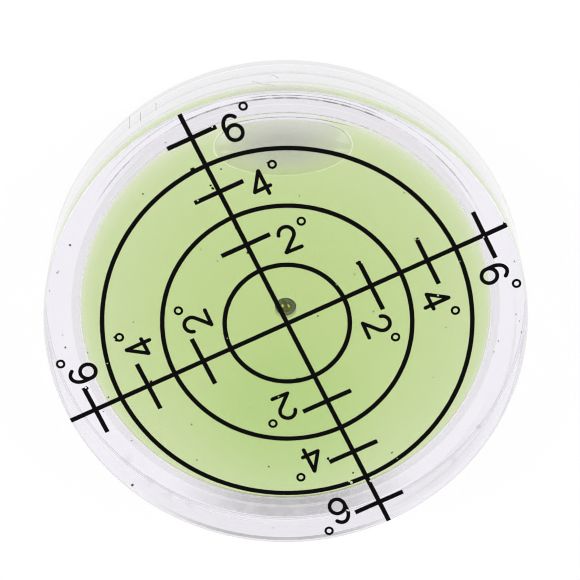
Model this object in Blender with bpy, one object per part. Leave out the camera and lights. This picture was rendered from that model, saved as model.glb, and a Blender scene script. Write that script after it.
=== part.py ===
"""A bullseye level: a round clear vial, 66 mm across, with a green liquid and its bubble sealed inside.

The vial is a clear moulded body whose pocket has a domed ceiling, closed from below by a base plate
with a boss. The liquid fills the pocket, a steel ball stops the filling hole in the boss, and rings,
a cross and ticks are printed on the flat top. The bubble lies at the rim, at its azimuth below.

Units are metres, +Z is up, and the origin is the centre of the underside.
"""

import math

import bmesh
import bpy
from mathutils import Matrix, Vector

MM = 0.001

# Outside of the vial
OUTER_DIAMETER = 66.0 * MM
BODY_HEIGHT = 11.6 * MM  # the clear body alone, from the joint to the top face
BASE_THICKNESS = 2.4 * MM
TOP_CHAMFER = 0.3 * MM
BASE_CHAMFER = 0.3 * MM

# Pocket in the body, which holds the liquid
WINDOW_THICKNESS = 3.0 * MM  # at the axis, where the ceiling is highest
CEILING_RADIUS = 245.0 * MM  # of the dome, which sets how far the bubble runs for each degree
WALL_THICKNESS = 4.7 * MM  # between the pocket and the outside
POCKET_DEPTH = 4.7 * MM  # at the axis, from the ceiling to the boss
SHOULDER_RADIUS = 3.0 * MM  # between the ceiling and the pocket's wall

# Joint between body and base plate
STEP_WIDTH = 1.0 * MM  # from the pocket's wall out to the recess that takes the boss
BOSS_CLEARANCE = 0.05 * MM  # round the boss and over it, so that the two outer rings meet first
MOUTH_CHAMFER = 0.4 * MM  # of the recess, where the cement gathers
SEAM_CHAMFER = 0.15 * MM  # of both pieces where the joint shows as a fine groove round the rim

# Filling hole and its plug
PLUG_BALL_DIAMETER = 3.0 * MM
PLUG_CLEARANCE = 0.03 * MM  # between the ball and its hole
HOLE_LEAD_IN = 0.4 * MM

# Liquid and bubble
WETTED_CLEARANCE = 0.05 * MM  # between the liquid's surface and the walls that it wets
BUBBLE_AZIMUTH = math.radians(65.2)  # from +X towards +Y, where the raised side is
BUBBLE_LENGTH = 18.4 * MM  # along the rim
BUBBLE_WIDTH = 7.4 * MM  # from the wall inwards
BUBBLE_DEPTH = 2.8 * MM
BUBBLE_WALL_GAP = 0.1 * MM  # between the bubble and the pocket's wall

# Print on the top face
INK_THICKNESS = 0.05 * MM
OUTER_RING_MARGIN = 7.8 * MM  # between the outer ring and the outside of the vial
RING_STEPS = (8.5 * MM, 8.18 * MM)  # from the inner ring to the middle one, and on to the outer one
TICK_STEPS = (4.08 * MM, 4.03 * MM, 4.3 * MM)  # from the ring of 2, 4 and 6 degrees to its tick
TICK_LENGTH = 7.3 * MM
STROKE = 0.56 * MM
EDGE_MARGIN = 0.02 * MM  # between the ends of the cross and the top chamfer
PRINT_OFFSET = Vector((0.09 * MM, -0.27 * MM, 0.0))  # how far the print sits off the axis

# Facets
TURN_STEPS = 96  # of every turned piece, so that faceted walls stay parallel
CEILING_STEPS = 10
SHOULDER_STEPS = 6
BALL_STEPS = 24
BUBBLE_STEPS = 40

# Heights and radii that follow
OUTER_RADIUS = OUTER_DIAMETER / 2
POCKET_RADIUS = OUTER_RADIUS - WALL_THICKNESS
SOCKET_RADIUS = POCKET_RADIUS + STEP_WIDTH
BOSS_RADIUS = SOCKET_RADIUS - BOSS_CLEARANCE
HOLE_RADIUS = PLUG_BALL_DIAMETER / 2 + PLUG_CLEARANCE
JOINT_Z = BASE_THICKNESS
TOP_Z = BASE_THICKNESS + BODY_HEIGHT
CEILING_Z = TOP_Z - WINDOW_THICKNESS
LEDGE_Z = CEILING_Z - POCKET_DEPTH
FLOOR_Z = LEDGE_Z - BOSS_CLEARANCE
FACE_RADIUS = OUTER_RADIUS - TOP_CHAMFER
OUTER_RING = OUTER_RADIUS - OUTER_RING_MARGIN
MIDDLE_RING = OUTER_RING - RING_STEPS[1]
RING_RADII = (MIDDLE_RING - RING_STEPS[0], MIDDLE_RING, OUTER_RING)
TICK_RADII = tuple(ring + step for ring, step in zip(RING_RADII, TICK_STEPS))


def clear_scene():
    """Starts from an empty scene."""
    for obj in list(bpy.data.objects):
        bpy.data.objects.remove(obj)


def material(name, colour, roughness, metallic=0.0, transmission=0.0, ior=1.5):
    """A plain Principled BSDF material."""
    made = bpy.data.materials.new(name)
    made.use_nodes = True
    shader = made.node_tree.nodes["Principled BSDF"]
    shader.inputs["Base Color"].default_value = (*colour, 1.0)
    shader.inputs["Roughness"].default_value = roughness
    shader.inputs["Metallic"].default_value = metallic
    shader.inputs["Transmission Weight"].default_value = transmission
    shader.inputs["IOR"].default_value = ior
    return made


def finish(name, mesh_builder, finish_material, smooth_angle=30.0):
    """Turns a bmesh into a named object with its material, shaded smooth between sharp edges."""
    bmesh.ops.recalc_face_normals(mesh_builder, faces=mesh_builder.faces)
    mesh = bpy.data.meshes.new(name)
    mesh_builder.to_mesh(mesh)
    mesh_builder.free()
    mesh.shade_smooth()
    mesh.set_sharp_from_angle(angle=math.radians(smooth_angle))
    mesh.materials.append(finish_material)
    obj = bpy.data.objects.new(name, mesh)
    bpy.context.scene.collection.objects.link(obj)
    return obj


def turned(outline, closed):
    """A bmesh turned round Z from an outline of (radius, height) points."""
    made = bmesh.new()
    points = [made.verts.new((radius, 0.0, height)) for radius, height in outline]
    pairs = list(zip(points, points[1:]))
    if closed:
        pairs.append((points[-1], points[0]))
    edges = [made.edges.new(pair) for pair in pairs]
    bmesh.ops.spin(
        made,
        geom=points + edges,
        cent=(0, 0, 0),
        axis=(0, 0, 1),
        angle=math.tau,
        steps=TURN_STEPS,
        use_merge=True,
    )
    bmesh.ops.remove_doubles(made, verts=made.verts, dist=0.001 * MM)
    return made


def arc(centre, radius, start, end, steps):
    """Points of an arc in the outline's plane, both ends included. Angles are from the radius axis."""
    return [
        (
            centre[0] + radius * math.cos(start + (end - start) * step / steps),
            centre[1] + radius * math.sin(start + (end - start) * step / steps),
        )
        for step in range(steps + 1)
    ]


def ceiling_height(radius):
    """The height of the pocket's domed ceiling at a radius."""
    return CEILING_Z - CEILING_RADIUS + math.sqrt(CEILING_RADIUS**2 - radius**2)


def pocket_outline(inset, floor_z):
    """The pocket from its floor up the wall, round the shoulder and along the domed ceiling to the axis.

    The shoulder takes up the wall but for its foot, so it is no larger than the wall is high.
    A positive inset gives the same outline that much inside the pocket, for what fills it.
    """
    dome_centre_z = CEILING_Z - CEILING_RADIUS
    shoulder_radius = min(SHOULDER_RADIUS, ceiling_height(POCKET_RADIUS) - LEDGE_Z)
    shoulder_r = POCKET_RADIUS - shoulder_radius
    reach = CEILING_RADIUS - shoulder_radius  # from the dome's centre to the shoulder's
    shoulder_z = dome_centre_z + math.sqrt(reach**2 - shoulder_r**2)
    lean = math.atan2(shoulder_z - dome_centre_z, shoulder_r)  # where shoulder and dome touch
    wall_foot = (POCKET_RADIUS - inset, floor_z)
    shoulder = arc((shoulder_r, shoulder_z), shoulder_radius - inset, 0.0, lean, SHOULDER_STEPS)
    ceiling = arc((0.0, dome_centre_z), CEILING_RADIUS - inset, lean, math.pi / 2, CEILING_STEPS)
    return [wall_foot] + shoulder + ceiling[1:-1] + [(0.0, CEILING_Z - inset)]


def make_body(clear):
    """The clear moulded body: window, rim, pocket and the recess for the boss."""
    outline = [
        (0.0, TOP_Z),
        (FACE_RADIUS, TOP_Z),
        (OUTER_RADIUS, TOP_Z - TOP_CHAMFER),
        (OUTER_RADIUS, JOINT_Z + SEAM_CHAMFER),
        (OUTER_RADIUS - SEAM_CHAMFER, JOINT_Z),
        (SOCKET_RADIUS + MOUTH_CHAMFER, JOINT_Z),
        (SOCKET_RADIUS, JOINT_Z + MOUTH_CHAMFER),
        (SOCKET_RADIUS, LEDGE_Z),
    ] + pocket_outline(0.0, LEDGE_Z)
    return finish("clear_body", turned(outline, closed=False), clear)


def make_base(clear):
    """The base plate: a full disc with a boss that fills the recess, bored for the filling hole."""
    outline = [
        (HOLE_RADIUS, FLOOR_Z),
        (BOSS_RADIUS, FLOOR_Z),
        (BOSS_RADIUS, JOINT_Z),
        (OUTER_RADIUS - SEAM_CHAMFER, JOINT_Z),
        (OUTER_RADIUS, JOINT_Z - SEAM_CHAMFER),
        (OUTER_RADIUS, BASE_CHAMFER),
        (OUTER_RADIUS - BASE_CHAMFER, 0.0),
        (HOLE_RADIUS + HOLE_LEAD_IN, 0.0),
        (HOLE_RADIUS, HOLE_LEAD_IN),
    ]
    return finish("base_plate", turned(outline, closed=True), clear)


def make_bubble_cutter():
    """The bubble's form: a lens against the domed ceiling, its long side along the rim.

    A ball is flattened so that its depth falls from the middle to the edge as a parabola does.
    """
    bubble_r = POCKET_RADIUS - BUBBLE_WALL_GAP - BUBBLE_WIDTH / 2
    made = bmesh.new()
    bmesh.ops.create_uvsphere(
        made, u_segments=BUBBLE_STEPS, v_segments=BUBBLE_STEPS // 2, radius=1.0
    )
    for vert in made.verts:
        across, along, side = vert.co
        depth = BUBBLE_DEPTH * max(1.0 - across**2 - along**2, 0.0)
        place = Vector((bubble_r + across * BUBBLE_WIDTH / 2, along * BUBBLE_LENGTH / 2, 0.0))
        place.z = ceiling_height(place.length) + math.copysign(depth, side)
        vert.co = place
    bmesh.ops.rotate(
        made,
        cent=(0, 0, 0),
        matrix=Matrix.Rotation(BUBBLE_AZIMUTH, 3, "Z"),
        verts=made.verts,
    )
    return made


def make_liquid(green, air):
    """The green liquid, which fills the pocket but for the bubble."""
    outline = [(0.0, FLOOR_Z + WETTED_CLEARANCE)]
    outline += pocket_outline(WETTED_CLEARANCE, FLOOR_Z + WETTED_CLEARANCE)
    liquid = finish("green_liquid", turned(outline, closed=False), green)
    cutter = finish("bubble_form", make_bubble_cutter(), air)
    cutter.hide_render = True
    cutter.display_type = "WIRE"
    cut = liquid.modifiers.new("bubble", "BOOLEAN")
    cut.operation = "DIFFERENCE"
    cut.object = cutter
    return liquid


def make_plug_ball(steel):
    """The steel ball pressed into the filling hole, its top level with the pocket's floor."""
    radius = PLUG_BALL_DIAMETER / 2
    made = bmesh.new()
    bmesh.ops.create_uvsphere(
        made, u_segments=BALL_STEPS, v_segments=BALL_STEPS // 2, radius=radius
    )
    bmesh.ops.translate(made, vec=(0.0, 0.0, FLOOR_Z - radius), verts=made.verts)
    return finish("plug_ball", made, steel, smooth_angle=60.0)


def ink_bar(length, width, centre, angle):
    """A printed stroke as a thin bar that lies on the top face."""
    turn = Matrix.Rotation(angle, 3, "Z")
    corners = [
        centre + turn @ Vector((length / 2 * along, width / 2 * across, 0.0))
        for along, across in ((-1, -1), (1, -1), (1, 1), (-1, 1))
    ]
    made = bmesh.new()
    foot = made.faces.new([made.verts.new((x, y, TOP_Z)) for x, y, _ in corners])
    raised = bmesh.ops.extrude_face_region(made, geom=[foot], use_keep_orig=True)
    for vert in raised["geom"]:
        if isinstance(vert, bmesh.types.BMVert):
            vert.co.z = TOP_Z + INK_THICKNESS
    return made


def ink_ring(radius):
    """A printed ring as a thin washer that lies on the top face."""
    inner, outer = radius - STROKE / 2, radius + STROKE / 2
    low, high = TOP_Z, TOP_Z + INK_THICKNESS
    made = turned([(inner, low), (outer, low), (outer, high), (inner, high)], closed=True)
    bmesh.ops.translate(made, vec=PRINT_OFFSET, verts=made.verts)
    return made


def make_print(ink):
    """The rings, the cross and the ticks, joined into the one figure that they print."""
    strokes = [ink_ring(radius) for radius in RING_RADII]
    for angle, aside in ((0.0, PRINT_OFFSET.y), (math.pi / 2, -PRINT_OFFSET.x)):
        half_chord = math.sqrt((FACE_RADIUS - EDGE_MARGIN) ** 2 - (abs(aside) + STROKE / 2) ** 2)
        middle = Matrix.Rotation(angle, 3, "Z") @ Vector((0.0, aside, 0.0))
        strokes.append(ink_bar(2 * half_chord, STROKE, middle, angle))
    for quarter in range(4):
        angle = quarter * math.pi / 2
        for radius in TICK_RADII:
            place = PRINT_OFFSET + Vector((radius * math.cos(angle), radius * math.sin(angle), 0.0))
            strokes.append(ink_bar(STROKE, TICK_LENGTH, place, angle))
    figure = finish("graduation", strokes[0], ink)
    for number, stroke in enumerate(strokes[1:]):
        helper = finish(f"stroke_{number}", stroke, ink)
        helper.hide_render = True
        helper.display_type = "WIRE"
        joined = figure.modifiers.new(f"join_{number}", "BOOLEAN")
        joined.operation = "UNION"
        joined.object = helper
    return figure


def main():
    clear_scene()
    clear = material("clear_acrylic", (0.95, 0.95, 0.97), 0.02, transmission=1.0, ior=1.49)
    green = material("green_liquid", (0.55, 0.75, 0.33), 0.0, transmission=1.0, ior=1.38)
    steel = material("ball_steel", (0.32, 0.33, 0.31), 0.25, metallic=1.0)
    ink = material("black_ink", (0.012, 0.011, 0.012), 0.45)
    air = material("bubble_air", (1.0, 1.0, 1.0), 0.0, transmission=1.0, ior=1.0)
    make_body(clear)
    make_base(clear)
    make_liquid(green, air)
    make_plug_ball(steel)
    make_print(ink)


main()
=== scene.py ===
# %% [markdown]
# # A bullseye level, rendered in Blender
#
# The object is a round vial of clear acrylic, 66 mm across, with a green liquid and a bubble sealed
# inside, and a black target printed on its window. Almost all that one sees of it is refraction, so
# the lesson is about light: which surface bends it, which one mirrors it, and what colours it on the
# way. The solids of the frame give every size. The glass-like pieces are built again here with finer
# turns, because a facet that is too small to see on a painted part still shows in a lens.

# %% Load the frame
import math

import bmesh
import bpy
from mathutils import Matrix, Quaternion, Vector, noise


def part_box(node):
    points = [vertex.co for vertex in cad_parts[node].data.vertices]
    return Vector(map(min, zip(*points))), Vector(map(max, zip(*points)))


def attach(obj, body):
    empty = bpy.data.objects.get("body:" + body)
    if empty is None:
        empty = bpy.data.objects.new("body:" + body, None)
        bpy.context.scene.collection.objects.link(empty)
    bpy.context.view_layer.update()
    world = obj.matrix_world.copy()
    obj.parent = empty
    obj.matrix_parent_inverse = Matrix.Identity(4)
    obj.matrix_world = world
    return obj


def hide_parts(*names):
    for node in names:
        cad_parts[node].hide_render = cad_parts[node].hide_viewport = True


MM = 0.001
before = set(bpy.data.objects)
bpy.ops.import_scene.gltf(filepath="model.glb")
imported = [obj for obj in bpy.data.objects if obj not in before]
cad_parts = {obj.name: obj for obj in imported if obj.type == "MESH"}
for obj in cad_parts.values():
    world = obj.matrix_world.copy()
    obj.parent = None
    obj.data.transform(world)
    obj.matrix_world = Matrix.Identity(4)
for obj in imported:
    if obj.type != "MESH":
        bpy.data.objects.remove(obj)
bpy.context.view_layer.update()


# %% [markdown]
# ## Sizes that are read from the frame
#
# Each piece is placed by the box of its solid, so nothing here has to be fitted by eye. The body's
# box gives the outside and the joint, the liquid's box gives the pocket, and the ball's box gives
# the filling hole. Only the clearances and the rounded edges are stated again.

# %% Read the sizes
body_low, body_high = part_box("clear_body")
liquid_low, liquid_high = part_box("green_liquid")
ball_low, ball_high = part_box("plug_ball")

OUTER_R = body_high.x
TOP_Z = body_high.z
JOINT_Z = body_low.z
FLOOR_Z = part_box("base_plate")[1].z  # the top of the boss, which is the pocket's floor
WETTED = 0.05 * MM  # between the liquid's solid and the walls that it wets
POCKET_R = liquid_high.x + WETTED
CEILING_Z = liquid_high.z + WETTED
LEDGE_Z = liquid_low.z  # where the cup's step meets the boss
BALL_R = (ball_high.x - ball_low.x) / 2
CEILING_RADIUS = 245.0 * MM  # of the domed ceiling
SHOULDER_R = 3.0 * MM
STEP = 1.0 * MM  # from the pocket's wall out to the recess for the boss
SOCKET_R = POCKET_R + STEP
BOSS_R = SOCKET_R - WETTED
MOUTH = 0.4 * MM  # chamfer of the recess
HOLE_R = BALL_R + 0.03 * MM
print(f"outside {OUTER_R / MM:.2f}, pocket {POCKET_R / MM:.2f}, ceiling {CEILING_Z / MM:.2f} mm")

# %% [markdown]
# ## The camera
#
# The photo was taken with a long lens from above one side, so the rings are slightly flattened and
# the rim's near side shows. The three printed rings fix the view: only one place and one lens put
# all three of them where the photo has them. The picture is turned half a turn about the view, so
# the side that is nearest to the camera is at the top.

# %% Set the camera
AIM = Vector((2.554, 3.859, 14.0)) * MM
AZIMUTH, ELEVATION, DISTANCE = math.radians(65.188), math.radians(69.153), 520.13 * MM
ROLL = math.radians(179.121)
SENSOR = 36.0  # mm, the sensor's width
LENS = 237.907  # mm
SHIFT = -0.00078, 0.00092  # about half a pixel

towards_camera = Vector(
    (
        math.cos(ELEVATION) * math.cos(AZIMUTH),
        math.cos(ELEVATION) * math.sin(AZIMUTH),
        math.sin(ELEVATION),
    )
)
camera_data = bpy.data.cameras.new("camera")
camera_data.lens = LENS
camera_data.sensor_width = SENSOR
camera_data.shift_x, camera_data.shift_y = SHIFT
camera_data.clip_start = 0.01
camera_data.clip_end = 50.0
camera = bpy.data.objects.new("camera", camera_data)
bpy.context.scene.collection.objects.link(camera)
camera.location = AIM + towards_camera * DISTANCE
upright = (-towards_camera).to_track_quat("-Z", "Y")
camera.rotation_mode = "QUATERNION"
camera.rotation_quaternion = upright @ Quaternion((0, 0, 1), ROLL)
bpy.context.scene.camera = camera
print("camera at", [round(value / MM, 1) for value in camera.location])

# %% [markdown]
# ## Materials as expressions
#
# A node graph is easier to read as arithmetic. The class below wraps a socket, so that `1 - mask`
# adds a Math node by itself, and one method adds every other kind of node.


# %% A small language for materials
class Wire:
    """A socket of a node, which can be used in plain arithmetic."""

    def __init__(self, graph, socket):
        self.graph = graph
        self.socket = socket

    def maths(self, operation, *values):
        return self.graph.node("ShaderNodeMath", {"operation": operation}, list(values))

    def __add__(self, other):
        return self.maths("ADD", self, other)

    def __radd__(self, other):
        return self.maths("ADD", other, self)

    def __sub__(self, other):
        return self.maths("SUBTRACT", self, other)

    def __rsub__(self, other):
        return self.maths("SUBTRACT", other, self)

    def __mul__(self, other):
        return self.maths("MULTIPLY", self, other)

    def __truediv__(self, other):
        return self.maths("DIVIDE", self, other)


class Graph:
    """The nodes of one material or of the world."""

    def __init__(self, owner):
        owner.use_nodes = True
        self.tree = owner.node_tree
        self.tree.nodes.clear()

    def node(self, kind, settings=None, inputs=None, output=0):
        """Adds any node: its settings first, then the values or wires of its sockets."""
        made = self.tree.nodes.new(kind)
        for name, value in (settings or {}).items():
            if name == "stops":
                ramp = made.color_ramp.elements
                while len(ramp) > 1:
                    ramp.remove(ramp[-1])
                for number, (place, colour) in enumerate(value):
                    stop = ramp[0] if number == 0 else ramp.new(place)
                    stop.position = place
                    stop.color = (*colour, 1.0)
            else:
                setattr(made, name, value)
        pairs = inputs.items() if isinstance(inputs, dict) else enumerate(inputs or [])
        for name, value in pairs:
            socket = made.inputs[name]
            if isinstance(value, Wire):
                self.tree.links.new(value.socket, socket)
            elif isinstance(value, tuple) and len(value) == 3 and socket.type == "RGBA":
                socket.default_value = (*value, 1.0)
            else:
                socket.default_value = value
        return Wire(self, made.outputs[output])

    def finish(self, kind, surface=None, volume=None):
        """Wires the surface and the volume to the output node."""
        wires = {"Surface": surface} if surface else {}
        if volume:
            wires["Volume"] = volume
        made = self.tree.nodes.new(kind)
        for name, value in wires.items():
            self.tree.links.new(value.socket, made.inputs[name])


def new_material(name):
    """An empty material and its graph."""
    made = bpy.data.materials.new(name)
    return made, Graph(made)


def plain_material(name, inputs):
    """A material of one shader, from the values of its sockets."""
    material, graph = new_material(name)
    shader = graph.node("ShaderNodeBsdfPrincipled", {}, inputs)
    graph.finish("ShaderNodeOutputMaterial", shader)
    return material


def object_places(graph):
    """The point that is shaded, in metres on the object itself."""
    return graph.node("ShaderNodeTexCoord", output="Object")


def attribute(graph, name):
    """A number that the mesh carries on its corners or faces."""
    settings = {"attribute_type": "GEOMETRY", "attribute_name": name}
    return graph.node("ShaderNodeAttribute", settings, output="Fac")


# %% [markdown]
# ## Turned pieces
#
# The cup, the base plate and the liquid are all turned forms: a half section is drawn once and spun
# about the axis. A spin of many steps keeps the curved walls smooth, which matters here, because
# each wall works as a lens or as a mirror.


# %% Helpers for turned pieces
TURNS = 512


def arc(centre, radius, start, end, steps):
    """Points on an arc of a section, with angles in degrees from the radius axis."""
    angles = [math.radians(start + (end - start) * step / steps) for step in range(steps + 1)]
    return [
        (centre[0] + radius * math.cos(angle), centre[1] + radius * math.sin(angle))
        for angle in angles
    ]


def spun(section, closed=False):
    """A bmesh spun about Z from the (radius, height) points of a section."""
    made = bmesh.new()
    points = [made.verts.new((radius, 0.0, height)) for radius, height in section]
    edges = [made.edges.new(pair) for pair in zip(points, points[1:])]
    if closed:
        edges.append(made.edges.new((points[-1], points[0])))
    bmesh.ops.spin(
        made,
        geom=points + edges,
        cent=(0, 0, 0),
        axis=(0, 0, 1),
        angle=math.tau,
        steps=TURNS,
        use_merge=True,
    )
    bmesh.ops.remove_doubles(made, verts=made.verts, dist=0.0005 * MM)
    bmesh.ops.recalc_face_normals(made, faces=made.faces)
    return made


def mesh_from(made, name):
    """A mesh from a bmesh, which is then freed."""
    mesh = bpy.data.meshes.new(name)
    made.to_mesh(mesh)
    made.free()
    return mesh


def add_to(made, part):
    """Adds a second bmesh to the first and frees it."""
    mesh = mesh_from(part, "part")
    made.from_mesh(mesh)
    bpy.data.meshes.remove(mesh)


def place(name, made, materials, sharp=25.0):
    """Turns a bmesh into a smooth object with its materials, riding on the level's one body."""
    mesh = mesh_from(made, name)
    mesh.shade_smooth()
    mesh.set_sharp_from_angle(angle=math.radians(sharp))
    for material in materials:
        mesh.materials.append(material)
    piece = bpy.data.objects.new(name, mesh)
    bpy.context.scene.collection.objects.link(piece)
    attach(piece, "root")
    print(f"{name}: {len(mesh.polygons)} faces")
    return piece


def face_place(face):
    """The radius and the height of a face's middle."""
    middle = face.calc_center_median()
    return math.hypot(middle.x, middle.y), middle.z


print(f"{TURNS} steps to a turn, {math.tau * OUTER_R / TURNS / MM:.2f} mm each at the rim")

# %% [markdown]
# ## Clear acrylic, and where it is wetted or glued
#
# Light bends by the ratio of the two sides' refractive indices. Acrylic against air is 1.49. Where
# the liquid wets the acrylic, the ratio is only 1.49 / 1.38 = 1.08, and that wall is nearly
# invisible from straight above, though it still mirrors at a shallow angle. Where cement joins the
# two mouldings there is no step at all. So each face gets the material of what lies on its far side.
# The faint lilac cast of the acrylic is put on the faces where light comes in.

# %% Make the clear materials
ACRYLIC_IOR = 1.49
LIQUID_IOR = 1.38


def glass(graph, ior, tint=(1.0, 1.0, 1.0), roughness=0.0):
    """A surface that lets light through, bends it and tints it."""
    inputs = {"Base Color": tint, "Roughness": roughness, "IOR": ior, "Transmission Weight": 1.0}
    return graph.node("ShaderNodeBsdfPrincipled", {}, inputs)


def clear_material(name, *look):
    material, graph = new_material(name)
    graph.finish("ShaderNodeOutputMaterial", glass(graph, *look))
    return material


CLEAR = [
    clear_material("polished_window", ACRYLIC_IOR, (0.885, 0.845, 0.955)),
    clear_material("turned_rim", ACRYLIC_IOR, (0.76, 0.74, 0.785), 0.03),
    clear_material("acrylic_in_air", ACRYLIC_IOR),
    clear_material("acrylic_wetted", ACRYLIC_IOR / LIQUID_IOR),
    clear_material("acrylic_cemented", 1.0),
    # painted shade: the grey of the ledge's cement stands in for the light that the ledge's extra
    # faces reflect away
    clear_material("cement_with_painted_shade", 1.0, (0.9, 0.9, 0.885)),
    clear_material("sawn_base_rim", ACRYLIC_IOR, (0.68, 0.67, 0.70), 0.12),
]
WINDOW, RIM, IN_AIR, IN_LIQUID, IN_CEMENT, IN_SHADED_CEMENT, BASE_RIM = range(len(CLEAR))
print("clear materials:", [material.name for material in CLEAR])

# %% [markdown]
# ## Where the green changes
#
# The liquid isn't painted one even green. Behind the bubble it is painted greyer, and towards the far
# side a little darker: both are painted shade. Both are soft round or oval spots, so one helper gives
# the distance from a spot's middle, measured in the spot's own half sizes: 0 in the middle and 1 at
# its edge.

# %% Sizes of the bubble and a helper for soft spots
BUBBLE_AZIMUTH = math.radians(65.2)
BUBBLE_LENGTH, BUBBLE_WIDTH = 18.4 * MM, 7.9 * MM
BUBBLE_GAP = 0.1 * MM  # from the bubble to the pocket's wall
bubble_r = POCKET_R - BUBBLE_GAP - BUBBLE_WIDTH / 2
NEAR_SIDE = 65.188  # degrees, the side of the level that carries most traces of cement
ANY_HEIGHT = 1.0e3  # metres, so that a spot reaches through the whole level


def soft_spot(graph, azimuth, distance, half_sizes, fade):
    """From the first value in a spot's middle to the second one outside it."""
    centre = Vector((math.cos(azimuth), math.sin(azimuth), 0.0)) * distance
    inputs = {"Vector": object_places(graph), "Location": centre}
    inputs["Rotation"] = (0.0, 0.0, azimuth)
    inputs["Scale"] = (*half_sizes, ANY_HEIGHT)
    offset = graph.node("ShaderNodeMapping", {"vector_type": "TEXTURE"}, inputs)
    away = graph.node("ShaderNodeVectorMath", {"operation": "LENGTH"}, [offset], output="Value")
    names = "From Min", "From Max", "To Min", "To Max"
    ends = dict(zip(names, fade))
    settings = {"interpolation_type": "SMOOTHSTEP"}
    return graph.node("ShaderNodeMapRange", settings, {"Value": away, **ends})


print(f"bubble's middle {bubble_r / MM:.2f} mm from the axis")

# %% [markdown]
# ## Green liquid
#
# The liquid and its bubble are one closed mesh, so they have one material, which takes up green
# light's neighbours on the way through. Cycles counts a volume by its material: with a second one on
# the bubble, a ray that enters by the skin and leaves by the bubble would go on being coloured. A
# face attribute tells the two surfaces apart instead. The skin bends nothing, because the pocket's
# walls already do, and the bubble bends light as liquid against air.

# %% Make the green liquid
LIQUID_GREEN = (0.58, 0.79, 0.04)
LIQUID_DENSITY = 260.0  # per metre
# painted shade: the bubble's middle is painted greyer, and lets only this share of the light through
BUBBLE_SHADE = 0.66  # of the light that passes the bubble's middle
BUBBLE_SHADE_TINT = 0.985, 0.97, 1.0
# painted shade: towards the far side the liquid's skin is tinted a little darker
FAR_SHADE_AT, FAR_SHADE_REACH = -16.0 * MM, 16.0 * MM  # from the axis away from the bubble
FAR_SHADE_BY = 0.11, 0.05, 0.16  # of red, green and blue

green_liquid, graph = new_material("green_liquid")
bubble_half = BUBBLE_WIDTH / 2, BUBBLE_LENGTH / 2
bubble_shade = soft_spot(graph, BUBBLE_AZIMUTH, bubble_r, bubble_half, (0.1, 1.3, BUBBLE_SHADE, 1.0))
bubble_shade_tint = graph.node("ShaderNodeCombineColor", {}, [bubble_shade * share for share in BUBBLE_SHADE_TINT])
far_half = FAR_SHADE_REACH, FAR_SHADE_REACH
far_shade = soft_spot(graph, math.radians(NEAR_SIDE), FAR_SHADE_AT, far_half, (0.25, 1.0, 1.0, 0.0))
skin_shade_tint = graph.node(
    "ShaderNodeCombineColor", {}, [1.0 - far_shade * share for share in FAR_SHADE_BY]
)
skin = glass(graph, 1.0, skin_shade_tint)
bubble_surface = glass(graph, LIQUID_IOR, bubble_shade_tint)
graph.finish(
    "ShaderNodeOutputMaterial",
    graph.node("ShaderNodeMixShader", {}, [attribute(graph, "bubble"), skin, bubble_surface]),
    graph.node(
        "ShaderNodeVolumeAbsorption", {}, {"Color": LIQUID_GREEN, "Density": LIQUID_DENSITY}
    ),
)
print("green_liquid:", len(graph.tree.nodes), "nodes")

# %% [markdown]
# ## The section of the pocket
#
# On the real level the ceiling is a very flat dome, and its radius sets how far the bubble runs for
# each degree. A rounded shoulder leads from the dome into the wall. The cup, the liquid and the
# bubble all follow this line, each inset by its own thin film, so it is worked out once.

# %% Section of the pocket
DOME_Z = CEILING_Z - CEILING_RADIUS  # of the dome's centre
SHOULDER_MID_R = POCKET_R - SHOULDER_R  # of the shoulder's centre
SHOULDER_MID_Z = DOME_Z + math.sqrt((CEILING_RADIUS - SHOULDER_R) ** 2 - SHOULDER_MID_R**2)
SHOULDER_TOP_R = SHOULDER_MID_R * CEILING_RADIUS / (CEILING_RADIUS - SHOULDER_R)
SHOULDER_STEPS, DOME_STEPS = 24, 48


def pocket_section(inset, foot_z):
    """From the wall's foot round the shoulder and along the dome to the axis, inset by a film."""
    shoulder_mid, dome_mid = (SHOULDER_MID_R, SHOULDER_MID_Z), (0.0, DOME_Z)
    lean = math.degrees(math.atan2(SHOULDER_MID_Z - DOME_Z, SHOULDER_MID_R))
    points = [(POCKET_R - inset, foot_z)]
    points += arc(shoulder_mid, SHOULDER_R - inset, 0.0, lean, SHOULDER_STEPS)
    points += arc(dome_mid, CEILING_RADIUS - inset, lean, 90.0, DOME_STEPS)[1:-1]
    return points + [(0.0, CEILING_Z - inset)]


def roof_z(radius, inset):
    """The height of the dome and its shoulder at a radius, inset by a film."""
    if radius < SHOULDER_TOP_R:
        return DOME_Z + math.sqrt((CEILING_RADIUS - inset) ** 2 - radius**2)
    rest = (SHOULDER_R - inset) ** 2 - (radius - SHOULDER_MID_R) ** 2
    return SHOULDER_MID_Z + math.sqrt(max(rest, 0.0))


print(f"the dome ends {SHOULDER_TOP_R / MM:.2f} mm from the axis")

# %% [markdown]
# ## Clear body
#
# The clear body is one moulding: window, wall and the recess that takes the plate's boss. Its half
# section runs from the middle of the window out over the rounded edge, down the wall, in along the
# joint, up the recess and back through the pocket to the axis. After the spin, each face is told
# what lies on its far side, by its radius and its height.

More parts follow.
